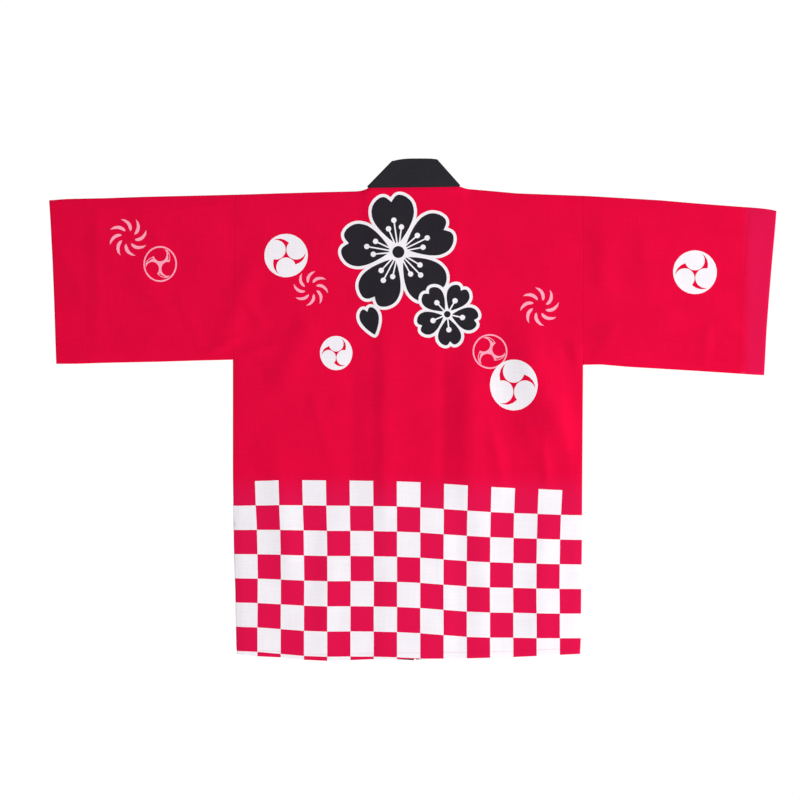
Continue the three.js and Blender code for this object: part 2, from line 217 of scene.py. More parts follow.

# %% [markdown]
# ## The finishes of the cloth
# The ground is undyed cotton, a white with a breath of violet from its brightener. Red is printed over all of
# it but the white checks and motifs. The red bleeds a little into lines of a few millimetres, which turns the
# finest motifs pink. The large flower is printed in black pigment, a little flatter than dyed cloth. Little
# of the print reaches the reverse, so the inside of the coat is paler. Over the right cuff's hem the red is
# painted paler and pinker, as painted sheen of the light from the right. Between the white checks the red
# took a little less paste and is a touch cooler.
# The collar band is another cotton, dyed black through and through.

# %% Finishes
DYE = ("#dd0538", "#d40435")
red_print = cotton("red printed cotton", *DYE)
white_ground = cotton("undyed white cotton", "#ece9e8", "#e5e1e3", fuzz=0.02)
black_print = cotton("black pigment print on cotton", "#28252a", "#232126", fuzz=0.03)
pink_line = cotton("thin white line with red bled into it", "#f9a8ba", "#f29caf")
red_reverse = cotton("reverse of the red print", "#dc4a68", "#d33f5f")
white_reverse = cotton("reverse of the white ground", "#efeaf0", "#e6e0e9", fuzz=0.02)
black_reverse = cotton("reverse of the black print", "#5b4a56", "#524350", fuzz=0.03)
pink_reverse = cotton("reverse of a thin line", "#ecc3cd", "#e4b6c2")
collar_black = cotton("black dyed collar cotton", "#2b2a2d", "#262529", fuzz=0.1, crease_depth=0.12)
# Painted sheen: over the right cuff's hem, from X 588 to 612 mm, the red turns paler and pinker, as the light
# from the right makes it look.
red_with_painted_sheen_at_cuff = cotton("red printed cotton, with painted sheen at the cuff", *DYE, change=("X", 588, 612, "#d21044"))
check_red = cotton("red printed cotton, cooler in the check", *DYE, change=("Y", -108, -165, "#d41045"))
RED, WHITE, BLACK, PINK = range(4)
FINISHES = [
    red_print, white_ground, black_print, pink_line, red_reverse, white_reverse, black_reverse, pink_reverse,
]
print("Finishes:", [m.name for m in FINISHES + [collar_black]])

# %% [markdown]
# ## Sewing thread
# Each stitch is a few millimetres of twisted cotton thread. It has the finish of the cloth, but it is so
# thin that a twist drawn along it is all that can show.


# %% Thread
def thread(name, colour):
    """Twisted cotton thread, with its plies drawn as a fine slanting bump."""
    material = bpy.data.materials.new(name)
    tree = emptied(material)
    place = add(tree, "TexCoord").outputs["Object"]
    plies = {"bands_direction": "DIAGONAL", "Scale": WAVE_PERIOD / (0.5 * MM)}
    twist = add(tree, "TexWave", plies, {"Vector": place})
    bump = add(tree, "Bump", {"Strength": 0.6, "Distance": 0.05 * MM}, {"Height": twist.outputs["Fac"]})
    surface = {
        "Base Color": linear(colour), "Roughness": 0.75, "IOR": COTTON_IOR, "Specular IOR Level": 0.08,
    }
    shader = add(tree, "BsdfPrincipled", surface, {"Normal": bump.outputs["Normal"]})
    add(tree, "OutputMaterial", {}, {"Surface": shader.outputs["BSDF"]})
    return material


red_thread = thread("red cotton thread", "#d81040")
black_thread = thread("black cotton thread", "#343138")
print("Threads:", [m.name for m in (red_thread, black_thread)])

# %% [markdown]
# ## The coat's outline
# The solid model gives the outline as short tables. They are used here too, in millimetres, with the
# shoulders a little rounder beside the neck. X runs across the sleeves and Y from the hem up to the collar.
# Left and right are those of the picture.

# %% Outline tables
SHOULDER_LEFT = [
    (-654.8, 377.4), (-623.3, 379.9), (-554.9, 381.2), (-482.9, 383.7), (-374.9, 386.2), (-302.9, 388.0),
    (-230.9, 390.3), (-158.9, 392.3), (-101.3, 393.6), (-92.0, 394.7), (-85.0, 396.9), (-79.0, 399.8),
]
SHOULDER_RIGHT = [
    (86.0, 402.0), (90.5, 399.7), (98.0, 397.8), (121.9, 395.9), (154.3, 393.0), (186.7, 390.0),
    (251.5, 387.6), (316.3, 385.1), (381.1, 381.3), (445.9, 377.4), (510.7, 371.8), (575.5, 366.8),
    (640.3, 362.3), (654.8, 358.2),
]
UNDERARM_LEFT = [
    (-641.9, 82.7), (-605.3, 82.8), (-562.1, 84.3), (-454.1, 86.6), (-389.3, 88.6), (-324.0, 90.2),
]
UNDERARM_RIGHT = [
    (306.7, 81.0), (337.9, 81.6), (388.3, 77.3), (438.7, 74.3), (514.3, 69.8), (564.7, 66.5),
    (615.1, 63.1), (632.5, 62.4),
]
CUFF_LEFT = [
    (82.7, -641.9), (134.7, -643.5), (195.9, -645.5), (273.3, -648.7), (339.9, -652.1), (377.4, -654.8),
]
CUFF_RIGHT = [
    (62.4, 632.5), (146.4, 636.8), (200.4, 641.0), (272.4, 647.1), (326.4, 652.0), (358.2, 654.8),
]
SIDE_LEFT = [
    (-439.6, -316.5), (-425.0, -317.8), (-324.0, -319.7), (-243.0, -322.3), (-118.0, -324.0),
    (90.2, -324.0), (388.0, -320.0),
]
SIDE_RIGHT = [
    (-439.4, 301.3), (-414.0, 302.6), (-338.0, 303.3), (-243.0, 304.6), (-108.0, 305.3), (72.0, 306.7),
    (386.0, 306.4),
]
HEM = [
    (-316.5, -439.6), (-280.4, -443.6), (-239.0, -445.6), (-195.8, -450.0), (-154.4, -451.8),
    (-113.0, -450.6), (-71.6, -448.8), (13.0, -448.1), (97.6, -447.4), (180.4, -445.1), (265.0, -441.1),
    (301.3, -439.4),
]


def curve(rows):
    """The line through a table of (at, value), straight between the rows and level past the ends."""
    rows = sorted(rows)

    def value(at):
        if at <= rows[0][0]:
            return rows[0][1]
        for (a, low), (b, high) in zip(rows, rows[1:]):
            if at <= b:
                return low + (high - low) * (at - a) / (b - a)
        return rows[-1][1]

    return value


SIDES = ("left", "right")
SIGN = {"left": -1, "right": 1}
shoulder = {"left": curve(SHOULDER_LEFT), "right": curve(SHOULDER_RIGHT)}
underarm = {"left": curve(UNDERARM_LEFT), "right": curve(UNDERARM_RIGHT)}
cuff = {"left": curve(CUFF_LEFT), "right": curve(CUFF_RIGHT)}
side_seam = {"left": curve(SIDE_LEFT), "right": curve(SIDE_RIGHT)}
hem = curve(HEM)
ARMPIT = {"left": 90.2, "right": 81.0}
print("Across the cuffs:", cuff["right"](358.2) - cuff["left"](377.4), "mm")

# %% [markdown]
# ## The collar's place
# The band goes up one front, folds over beside the neck, runs behind it and comes down the other front.
# Below the chest its two halves run side by side, and above it they spread to meet the neck.

# %% Collar sizes
MIDDLE = 4
BAND_WIDTH = 49.6
BAND_THICK = 2.4
BAND_APART = 4
BAND_SLOPE = 0.092
MEET_Y = 94.5
MEET_EASE = 60
NECK_Y = 401
NECK_TILT = 0.0135
NAPE_TOP = 452.4
NAPE_LOW_HALF = 79.7
NAPE_HIGH_HALF = {-1: 39.5, 1: 38.1}
SEAM = 0.3


def smooth(t):
    """Eases from 0 to 1."""
    t = min(1, max(0, t))
    return t * t * (3 - 2 * t)


def lerp(a, b, t):
    return a + (b - a) * t


def neck(x):
    """The seam that joins the collar to the back."""
    return NECK_Y + NECK_TILT * (x - MIDDLE)


def seam_offset(y):
    """From the collar's middle to the seam between the band and a front."""
    above = y - MEET_Y
    eased = max(0, above)
    if abs(above) < MEET_EASE:
        eased = (above + MEET_EASE) ** 2 / (4 * MEET_EASE)
    return BAND_APART / 2 + BAND_WIDTH + SEAM / 2 + BAND_SLOPE * eased


def back_top(x):
    """The back's upper edge: the two shoulders, and the neck between them."""
    if x < SHOULDER_LEFT[-1][0]:
        return shoulder["left"](x)
    if x > SHOULDER_RIGHT[0][0]:
        return shoulder["right"](x)
    return neck(x) - SEAM / 2


print("Neck seam, mm:", round(neck(-75), 1), "to", round(neck(83), 1))

# %% [markdown]
# ## How the cloth lies
# A coat that is laid out by hand keeps a few long soft folds, and it rises over whatever lies beneath it.
# The solid model has the twelve large folds, which come first in the table, in nearly these places, but
# lower. Each row leads from one end of a fold to the other and has its width and height. A negative height
# is a trough. Low uneven waves fill the rest, so that no stretch of the cloth is dead flat.

# %% Folds
Fold = namedtuple("Fold", "x0 y0 x1 y1 wide high")
FOLDS = [Fold(*row) for row in [
    (190, 136, 278, -70, 35, 8.2), (196, -20, 250, -130, 14, 1.2), (140, -30, 164, -136, 12, 1.7),
    (-344, 112, -288, 262, 22, 2.4), (-240, 30, -184, 172, 25, 2.5), (-250, -60, -214, -330, 22, 1.8),
    (118, -170, 128, -440, 22, 1.6), (-150, -200, -160, -446, 22, 1.5), (238, -190, 226, -436, 22, 1.5),
    (392, 250, 560, 210, 20, 1.5), (-560, 300, -420, 160, 22, 1.5), (470, 330, 600, 300, 18, 1.4),
    (100, 130, 100, -170, 29, 5.0), (-50, 128, -52, -170, 21, 1.8), (-108, 90, -110, -150, 17, -1.5),
    (57, 120, 55, -140, 12, -1.5), (138, 110, 140, -170, 32, 2.4), (172, 70, 232, -84, 30, 2.4),
    (284, 124, 314, 76, 11, 2.0), (266, 108, 292, 76, 8, -1.3), (234, -40, 242, -140, 9, 1.1),
    (282, -40, 284, -130, 9, 1.0), (-300, 104, -240, 116, 8, 0.9), (-292, 92, -262, 60, 9, -0.8),
    (-300, 196, -268, 150, 10, 1.4), (-372, 96, -316, 130, 9, 1.6), (-180, 30, -150, -90, 12, 1.0),
    (-212, 206, -176, 120, 13, 0.6), (150, 300, 210, 240, 13, 0.9), (336, 330, 346, 210, 20, 1.6),
    (410, 322, 426, 200, 18, 1.3), (436, 184, 480, 166, 9, 1.1), (338, 92, 366, 160, 14, 0.9),
    (524, 78, 532, 152, 9, 1.1), (606, 330, 604, 190, 11, 0.4), (-570, 372, -567, 150, 12, 1.1),
    (-546, 360, -544, 170, 20, 0.8), (-640, 300, -560, 130, 14, 0.8), (-470, 330, -430, 250, 12, 0.8),
    (560, 160, 610, 110, 10, 0.8), (-420, 210, -380, 110, 12, 1.0),
]]
FOLD_REACH = 3  # a fold is left out further than this many widths away


def all_folds(x, y):
    """What the folds add to the height at a point."""
    total = 0
    for fold in FOLDS:
        dx = fold.x1 - fold.x0
        dy = fold.y1 - fold.y0
        length = math.hypot(dx, dy)
        along = ((x - fold.x0) * dx + (y - fold.y0) * dy) / length**2
        across = ((x - fold.x0) * dy - (y - fold.y0) * dx) / length
        if abs(along - 0.5) < 1.2 and abs(across) < FOLD_REACH * fold.wide:
            total += fold.high * math.exp(-((across / fold.wide) ** 2) - (2 * (along - 0.5)) ** 4)
    return total


WAVES = [(70, 0.6), (31, 0.24), (13, 0.06)]  # wavelength and height of the uneven waves


def waves(x, y):
    """The low uneven waves of cloth that no iron has been over since it was laid down."""
    return sum(high * noise.noise(Vector((x / long, y / long, long))) for long, high in WAVES)


print("Folds:", len(FOLDS))

# %% [markdown]
# ## Edges that turn
# No edge of sewn cloth is a sharp cut. At a side seam the back turns down and the front turns up to meet it,
# at an armhole both pieces dip into the seam, and at a hem the cloth is folded under and stitched down.
# A quarter turn is worked out from how far a point was from the edge on the flat. A hem's allowance is cut
# on to the piece and laid back beneath it, so its edge has the real fold and the real double thickness.

# %% Turned edges
CLOTH = 0.45
ROLL = 1.3  # radius of the turn at a side seam
SLEEVE_ROLL = 1.6
GROOVE = 0.3  # depth to which two pieces dip where they are sewn edge to edge
HEM_TURN = 0.62  # outer radius of a hem's fold
ARMHOLE_EASE = 16  # the turn at the side becomes the armhole's over this distance
HEM_PROUD = 0.15
STITCH_GROOVE = 0.08


def turned(distance, radius):
    """For a point this far from the edge on the flat: how far in from the edge, and how far down, it lies."""
    reach = math.pi * radius / 2
    if distance >= reach:
        return distance - reach + radius, 0
    angle = (reach - distance) / radius
    return radius - radius * math.sin(angle), radius * (1 - math.cos(angle))


def spare(radius):
    """How much further out the flat edge of a turned piece is than its finished edge."""
    return (math.pi / 2 - 1) * radius


def side_roll(which, y):
    """The radius of the turn at the body's side. It gets smaller from the armpit up, round the armhole."""
    return lerp(ROLL, GROOVE, smooth((y - ARMPIT[which]) / ARMHOLE_EASE))


def facing(surface, x, y):
    """The way that a laid surface faces, from two short steps on it."""
    step = 0.25
    here = surface(x, y)
    return (surface(x + step, y) - here).cross(surface(x, y + step) - here).normalized()


def hem_laid(surface, x, y, beyond, inward, faces=1):
    """A point that is past the tangent of a hem's fold, laid round the fold and back beneath the cloth."""
    if beyond <= 0:
        return surface(x, y)
    angle = min(math.pi, beyond / HEM_TURN)
    back = max(0, beyond - math.pi * HEM_TURN)
    x += inward[0] * (beyond + back)
    y += inward[1] * (beyond + back)
    down = facing(surface, x, y) * faces * HEM_TURN
    out = Vector((inward[0], inward[1], 0)) * HEM_TURN
    return surface(x, y) - down * (1 - math.cos(angle)) - out * math.sin(angle)


def hem_relief(distance, depth):
    """A hem stands a little proud of the single cloth, and its stitches pull a groove along its edge."""
    stitched = math.exp(-(((distance - depth) / 2.2) ** 2))
    return HEM_PROUD * smooth((depth + 8 - distance) / 20) - STITCH_GROOVE * stitched


print("A hem is", 2 * HEM_TURN, "mm thick, of cloth", CLOTH, "mm thick")

# %% [markdown]
# ## Cutting cloth with its print
# The print could be an image, or a pattern worked out in a material. Here it is cut into the mesh: the
# outline and every printed shape go into one triangulation of the flat cloth, and each triangle gets the
# finish of the uppermost shape over it. The edges of the print are then as crisp as screen printing leaves
# them at any distance, and they bend with the cloth. Points of an even lattice fill the space between, and
# rows of closer points follow the edges that turn.

# %% The cutter
LATTICE_CLEAR = 0.65  # how far lattice points stay from the print and the rows, as a part of their spacing


def area(ring):
    """The signed area of a ring of points."""
    return sum(a[0] * b[1] - b[0] * a[1] for a, b in zip(ring, ring[1:] + ring[:1])) / 2


def steps_along(ring, longest):
    """The ring with points added, so that no two neighbours are further apart than the longest step."""
    fine = []
    for a, b in zip(ring, ring[1:] + ring[:1]):
        count = max(1, math.ceil(math.dist(a, b) / longest - 0.01))
        fine += [(lerp(a[0], b[0], n / count), lerp(a[1], b[1], n / count)) for n in range(count)]
    return fine


def cut(outline, prints, rows, spacing):
    """Flat points, triangles, and the finish of each triangle."""
    shapes = [(outline, RED), *prints]
    rings = [steps_along(ring if area(ring) > 0 else ring[::-1], spacing) for ring, _ in shapes]
    finishes = [finish for _, finish in shapes]
    points = []
    faces = []
    for ring in rings:
        faces.append(list(range(len(points), len(points) + len(ring))))
        points += ring
    points += rows
    taken = kdtree.KDTree(len(points))
    for n, (x, y) in enumerate(points):
        taken.insert((x, y, 0), n)
    taken.balance()
    low = [min(p[axis] for p in rings[0]) for axis in (0, 1)]
    high = [max(p[axis] for p in rings[0]) for axis in (0, 1)]
    row_height = spacing * math.sqrt(3) / 2
    for j in range(int((high[1] - low[1]) / row_height) + 1):
        for i in range(int((high[0] - low[0]) / spacing) + 1):
            x = low[0] + (i + j % 2 / 2) * spacing
            y = low[1] + j * row_height
            if taken.find((x, y, 0))[2] > LATTICE_CLEAR * spacing:
                points.append((x, y))
    flat, _, triangles, _, _, owners = geometry.delaunay_2d_cdt(
        [Vector(p) for p in points], [], faces, 1, 1e-4
    )
    kept = [(tri, finishes[max(own)]) for tri, own in zip(triangles, owners) if 0 in own]
    return flat, [tri for tri, _ in kept], [finish for _, finish in kept]


example = [(0, 0), (100, 0), (100, 100), (0, 100)]
print("A square of 100 mm is cut into", len(cut(example, [], [], 10)[1]), "triangles")

# %% [markdown]
# ## From flat pieces to a sewn one
# A piece is one or more flat cuts, each with a function that lays its points. They go into one mesh, and
# where two cuts share an edge, as the halves of a sleeve do, their points are joined. Blender's Solidify
# modifier then gives the cloth its thickness on the inner side, with the paler finishes there. A finished
# piece takes the place of its solid in the solid model and rides on the coat's one body.


# %% Sewing
SHARP = math.radians(55)  # steeper edges are not smoothed over


def to_piece(name, shape, finishes):
    """A bmesh as an object of the scene, with its finishes."""
    mesh = bpy.data.meshes.new(name)
    shape.to_mesh(mesh)
    shape.free()
    for finish in finishes:
        mesh.materials.append(finish)
    piece = bpy.data.objects.new(name, mesh)
    bpy.context.scene.collection.objects.link(piece)
    return piece


def dress(piece, node):
    """The piece stands for a node of the solid model, and rides on the coat's one body."""
    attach(piece, "root")
    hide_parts(node)


def sew(name, cuts, finishes):
    """One piece of cloth from its cuts: each has flat points, triangles, finishes, a lay and a way up."""
    shape = bmesh.new()
    flat_place = shape.loops.layers.uv.new("cloth")
    for order, (flat, triangles, finish, lay, faces_up) in enumerate(cuts):
        laid = [shape.verts.new(lay(p.x, p.y) * MM) for p in flat]
        for triangle, slot in zip(triangles, finish):
            corners = triangle if faces_up else triangle[::-1]
            face = shape.faces.new([laid[n] for n in corners])
            face.material_index = slot
            face.smooth = True
            for loop, n in zip(face.loops, corners):
                loop[flat_place].uv = (flat[n].x * MM, flat[n].y * MM - order)
    if len(cuts) > 1:
        bmesh.ops.remove_doubles(shape, verts=shape.verts, dist=0.01 * MM)
    loose = [v for v in shape.verts if not v.link_faces]
    bmesh.ops.delete(shape, geom=loose, context="VERTS")
    piece = to_piece(name, shape, finishes)
    solid = piece.modifiers.new("thickness of the cloth", "SOLIDIFY")
    solid.thickness = CLOTH * MM
    solid.offset = -1
    solid.material_offset = len(finishes) // 2
    view = bpy.context.evaluated_depsgraph_get()
    piece.data = bpy.data.meshes.new_from_object(piece.evaluated_get(view))
    piece.modifiers.clear()
    piece.data.name = name
    piece.data.set_sharp_from_angle(angle=SHARP)
    print(name, "has", len(piece.data.polygons), "faces")
    return piece


print("Edges steeper than", round(math.degrees(SHARP)), "degrees stay sharp")

# %% [markdown]
# ## The check
# On this coat a square is about 42 by 45 mm. Only the white squares are drawn, because the cloth around them
# is red already. The rows sag and narrow a little as the cloth lies, which three tables give. Where a printed
# line crosses a turned edge it needs points on each of the close rows there, or the triangles would cut
# straight across the turn. So the outer squares get such points, and the columns of points round a hem's fold
# are set out from the lines of the check.

# %% Check
CHECK_COLUMNS = 15
CHECK_ROWS = 9
CHECK_MIDDLE = -7.5
CHECK_STEP = 42.3  # about the width of a square
CHECK_TOP = curve([
    (-303, -129.2), (-261, -127.2), (-219, -126.3), (-176, -126.8), (-92, -127.6), (-8, -128.9), (35, -131.5),
    (77, -134.7), (119, -137.0), (162, -140.4), (246, -143.2), (288, -145.8),
])
CHECK_HIGH = curve([
    (-303, 43.5), (-261, 44.3), (-219, 45.0), (-176, 45.4), (-92, 45.15), (35, 45.3), (119, 45.5),
    (162, 44.9), (246, 44.65), (288, 44.2),
])
CHECK_WIDE = curve([(-376, 41.87), (-310, 41.76), (-241, 41.9), (-196, 42.1), (-149, 42.55)])
EDGE_ROWS = [0.3, 0.65, 1.05, 1.5, 2.1, 3.2]


print("Squares of about", CHECK_STEP, "by", round(CHECK_HIGH(0)), "mm")


# %% White squares
def check_corner(column, row):
    """The flat place of a corner of the check, by its column line and its row line."""
    middle = CHECK_COLUMNS / 2
    x = CHECK_MIDDLE + (column - middle) * CHECK_STEP
    y = CHECK_TOP(x) - row * CHECK_HIGH(x)
    return CHECK_MIDDLE + (column - middle) * CHECK_WIDE(y), y


def row_line(column, row):
    """A row line across one square, with points on the close rows of a turned side."""
    start = check_corner(column, row)
    end = check_corner(column + 1, row)
    which = {0: "left", CHECK_COLUMNS - 1: "right"}.get(column)
    places = []
    if which:
        edge = side_seam[which](start[1]) + SIGN[which] * spare(ROLL)
        places = [(edge - SIGN[which] * inside - start[0]) / (end[0] - start[0]) for inside in EDGE_ROWS]
    return [(lerp(start[0], end[0], t), lerp(start[1], end[1], t)) for t in [0] + sorted(places) + [1]]


def check():
    """The white squares of the check."""
    squares = []
    for row in range(CHECK_ROWS):
        for column in range(CHECK_COLUMNS):
            if (row + column) % 2:
                squares.append((row_line(column, row + 1) + row_line(column, row)[::-1], WHITE))
    return squares


def hem_columns(start, end, spacing):
    """Where the points round a hem stand: at the check's lines, at even steps between, and at both ends."""
    wide = CHECK_WIDE(hem(0))
    step = wide / math.ceil(wide / spacing - 0.01)
    first = CHECK_MIDDLE - CHECK_COLUMNS / 2 * wide
    low, high = min(start, end), max(start, end)
    places = [first + n * step for n in range(round(CHECK_COLUMNS * wide / step) + 1)]
    inner = [x for x in places if low + 0.75 * step < x < high - 0.75 * step]
    return [start] + (inner if start < end else inner[::-1]) + [end]


print("White squares:", len(check()))

# %% [markdown]
# ## Placing a motif
# Every motif is drawn at radius 1 round its own middle, by angle and distance, and is then turned, mirrored
# if need be, and set in its place at its size. Angles are in degrees, anticlockwise from the right.


# %% Motif helpers
def polar(degrees, distance):
    return distance * math.cos(math.radians(degrees)), distance * math.sin(math.radians(degrees))


def arc(middle, radius, start, end, count):
    """Points on an arc, from one angle to the other."""
    angles = [lerp(start, end, n / count) for n in range(count + 1)]
    return [(middle[0] + polar(a, radius)[0], middle[1] + polar(a, radius)[1]) for a in angles]


def circle(radius, count=40):
    return arc((0, 0), radius, 0, 360 - 360 / count, count - 1)


def placed(shapes, x, y, wide, high, mirrored=False):
    """Shapes of radius 1, in their place on the cloth, with half their width and height in millimetres."""
    flip = -1 if mirrored else 1
    return [([(x + flip * wide * u, y + high * v) for u, v in ring], finish) for ring, finish in shapes]


print("A circle has", len(circle(1)), "points")

# %% [markdown]
# ## The three comma crest
# Three commas that chase each other round a circle are among the oldest of Japan's crests, and the usual
# mark of a festival drum. The heads of the commas are discs that almost touch. The space between them makes
# a star with three arms: each runs out between two heads and bends along the next head towards the rim. In
# the filled crest that star is red on a white disc. In the open one the commas are red, each with a thin
# line round it, inside a thin ring.

# %% Crests
HEAD_AT = 0.54
HEAD_RADIUS = 0.452
ARM_OUTSIDE = [(-10, 0.62), (4, 0.72), (17.5, 0.813), (30, 0.88), (41, 0.925)]


def turned_by(degrees, ring):
    c, s = polar(degrees, 1)
    return [(u * c - v * s, u * s + v * c) for u, v in ring]


def comma_star(gap, head_radius):
    """The star between three comma heads. Its first arm starts at the angle of the gap."""
    star = []
    tip_side = 17.8
    inner_side = -193.4
    for n in range(3):
        part = arc(polar(60, HEAD_AT), head_radius, tip_side, inner_side, 20)
        part += [polar(120 + angle, distance) for angle, distance in ARM_OUTSIDE[:-1]]
        star += turned_by(gap + 120 * n, part)
    return star


def filled_crest(gap):
    return [(circle(1), WHITE), (comma_star(gap, HEAD_RADIUS), RED)]


def open_crest(gap, ring):
    """The ring is the width of the pale rim, as a part of the radius."""
    shapes = [(circle(1), PINK), (circle(1 - ring), RED), (comma_star(gap, 0.395), PINK)]
    for n in range(3):
        core = [polar(a, r) for a, r in [(-8, 0.5), (-4, 0.62), (10, 0.72), (26, 0.82), (20, 0.73), (6, 0.6)]]
        shapes.append((turned_by(gap + 120 * n, core), RED))
    return shapes


print("The star of a crest has", len(comma_star(0, HEAD_RADIUS)), "points")

# %% [markdown]
# ## The pinwheel
# Eight thin blades bend outwards round an empty middle, like sparks from a firework or the blades of a toy
# windmill. A blade is a curved centre line with a width that swells in the middle and ends in points.

# %% Pinwheels
BLADES = 8
BLADE_LINE = [(-41, 0.34), (-38.5, 0.42), (-34, 0.52), (-28, 0.64), (-20, 0.76), (-10, 0.89), (0, 1.0)]
BLADE_HALF_WIDTH = 0.084


def pinwheel(tip):
    """Blades whose tips are at this angle and every eighth of a turn from it."""
    blades = []
    line = [polar(angle, distance) for angle, distance in BLADE_LINE]
    one = []
    other = []
    for n, (u, v) in enumerate(line):
        before = line[max(0, n - 1)]
        after = line[min(len(line) - 1, n + 1)]
        length = math.dist(before, after)
        width = BLADE_HALF_WIDTH * math.sin(math.pi * n / (len(line) - 1)) ** 0.6
        across = ((before[1] - after[1]) / length * width, (after[0] - before[0]) / length * width)
        one.append((u + across[0], v + across[1]))
        if 0 < n < len(line) - 1:
            other.append((u - across[0], v - across[1]))
    for n in range(BLADES):
        blades.append((turned_by(tip + 360 / BLADES * n, one + other[::-1]), PINK))
    return blades


print("A pinwheel has", len(pinwheel(0)), "blades")

# %% [markdown]
# ## The flowers on the back
# The middle of the back has a large print in black with a white edge. Here it is cherry blossom, the common
# festival flower: five petals with a notch at each tip. A petal is half an outline, drawn as a soft curve
# through a few points, and its mirror image, so that both sides match. The white edge is the same outline,
# moved out by a few millimetres along its own normals, and the stamens are thin lines with a dot on each.

# %% The outline of a petal
STAMEN_WIDE = 2.6
PETAL_HALF = [
    (0.13, 0.0), (0.2, 0.08), (0.33, 0.195), (0.48, 0.3), (0.64, 0.365), (0.8, 0.36), (0.92, 0.285),
    (0.985, 0.175), (0.97, 0.085), (0.88, 0.0),
]
WHITE_EDGE = 5.5
FEW_STAMENS = 80  # a blossom with a smaller radius has one stamen to a petal


def soft_curve(points, steps=5):
    """A smooth line through a few points, from the first to the last."""
    fine = []
    for n in range(len(points) - 1):
        before = points[max(0, n - 1)]
        after = points[min(len(points) - 1, n + 2)]
        here, there = points[n], points[n + 1]
        for step in range(steps):
            t = step / steps
            fine.append(tuple(
                0.5 * (
                    2 * b + (c - a) * t + (2 * a - 5 * b + 4 * c - d) * t**2 + (3 * b - a - 3 * c + d) * t**3
                )
                for a, b, c, d in zip(before, here, there, after)
            ))
    return fine + [points[-1]]


print("Half a petal is a curve of", len(soft_curve(PETAL_HALF)), "points")


# %% Blossoms
def moved_out(ring, by):
    """A ring moved out along its normals, without what would cross itself. It has to run anticlockwise."""
    out = []
    for before, here, after in zip(ring[-1:] + ring[:-1], ring, ring[1:] + ring[:1]):
        length = math.dist(before, after)
        place = (
            here[0] + (after[1] - before[1]) / length * by,
            here[1] - (after[0] - before[0]) / length * by,
        )
        if min(math.dist(place, other) for other in ring) > 0.96 * by:
            out.append(place)
    return out


def petal(angle, slim=1):
    half = soft_curve([(u, slim * v) for u, v in PETAL_HALF])
    lower = [(u, -v) for u, v in half]
    return turned_by(angle, lower + half[-2:0:-1])


def stamen(angle, start, end, width):
    """A thin line with a dot on its end."""
    bar = [(start, -width / 2), (end, -width / 2), (end, width / 2), (start, width / 2)]
    dot = arc((end, 0), 1.9 * width, 0, 330, 11)
    return [(turned_by(angle, bar), WHITE), (turned_by(angle, dot), WHITE)]


def blossom(angle, radius):
    """A flower of radius 1: its white edge, its black petals and its stamens."""
    petals = [petal(angle + 72 * n) for n in range(5)]
    shapes = [(moved_out(ring, WHITE_EDGE / radius), WHITE) for ring in petals]
    shapes += [(circle(0.3), WHITE)]
    shapes += [(ring, BLACK) for ring in petals]
    shapes += [(circle(0.165), WHITE), (circle(0.105), BLACK)]
    fan = [(0, 0.5)] if radius < FEW_STAMENS else [(0, 0.56), (-15, 0.44), (15, 0.44)]
    for n in range(5):
        for lean, end in fan:
            shapes += stamen(angle + 72 * n + lean, 0.15, end, STAMEN_WIDE / radius)
    return shapes


def loose_petal(angle, radius):
    ring = petal(angle, slim=0.8)
    return [(moved_out(ring, WHITE_EDGE / radius), WHITE), (ring, BLACK)]


print("A blossom is", len(blossom(0, FEW_STAMENS)), "printed shapes")

# %% [markdown]
# ## Where the motifs are
# A maker prints the motifs at set places on each panel. A row gives the motif's middle, half its width and
# height, the angle of its first gap or tip, and whether it is mirrored.

# %% Motif places
Motif = namedtuple("Motif", "kind x y wide high angle mirrored", defaults=[False])
OPEN_RING = 0.085
LEFT_SLEEVE_MOTIFS = [
    Motif("pinwheel", -512.1, 310.2, 35.3, 35.3, 112),
    Motif("open", -454.5, 262.4, 30.1, 32.2, 30),
]
BACK_MOTIFS = [
    Motif("filled", -228.1, 277.7, 39.1, 39.1, 90),
    Motif("pinwheel", -183.6, 218.4, 31.9, 31.9, 105, True),
    Motif("filled", -137.9, 102.2, 29.2, 30.8, 30),
    Motif("pinwheel", 228.1, 185.8, 35.6, 35.6, 103),
    Motif("open", 138.8, 104.9, 31.3, 31.3, 74),
    Motif("filled", 181.4, 44.7, 42.7, 45.7, 30, True),
]
RIGHT_SLEEVE_MOTIFS = [Motif("filled", 507.6, 247.6, 39.4, 39.4, 30)]
FLOWERS = [
    Motif("blossom", -26, 284, 103, 103, 98),
    Motif("blossom", 62, 172, 56, 56, 60),
    Motif("petal", -66, 128, 58, 58, 108),
]


def printed(motifs):
    """The shapes of some motifs, in their places."""
    shapes = []
    for m in motifs:
        drawn = {
            "pinwheel": lambda: pinwheel(m.angle),
            "open": lambda: open_crest(m.angle, OPEN_RING),
            "filled": lambda: filled_crest(m.angle),
            "blossom": lambda: blossom(m.angle, m.wide),
            "petal": lambda: loose_petal(m.angle, m.wide),
        }[m.kind]()
        shapes += placed(drawn, m.x, m.y, m.wide, m.high, m.mirrored)
    return shapes


print("Printed shapes on the back:", len(printed(BACK_MOTIFS + FLOWERS)))

# %% [markdown]
# ## The back
# The back is one width of cloth. Its height at a point is worked out as the solid model does it: over the
# fronts, up over the two halves of the collar band that lie beneath it, and up again to the nape. On top of
# that come the folds and waves, and the soft welt that the seam with the collar pushes up.

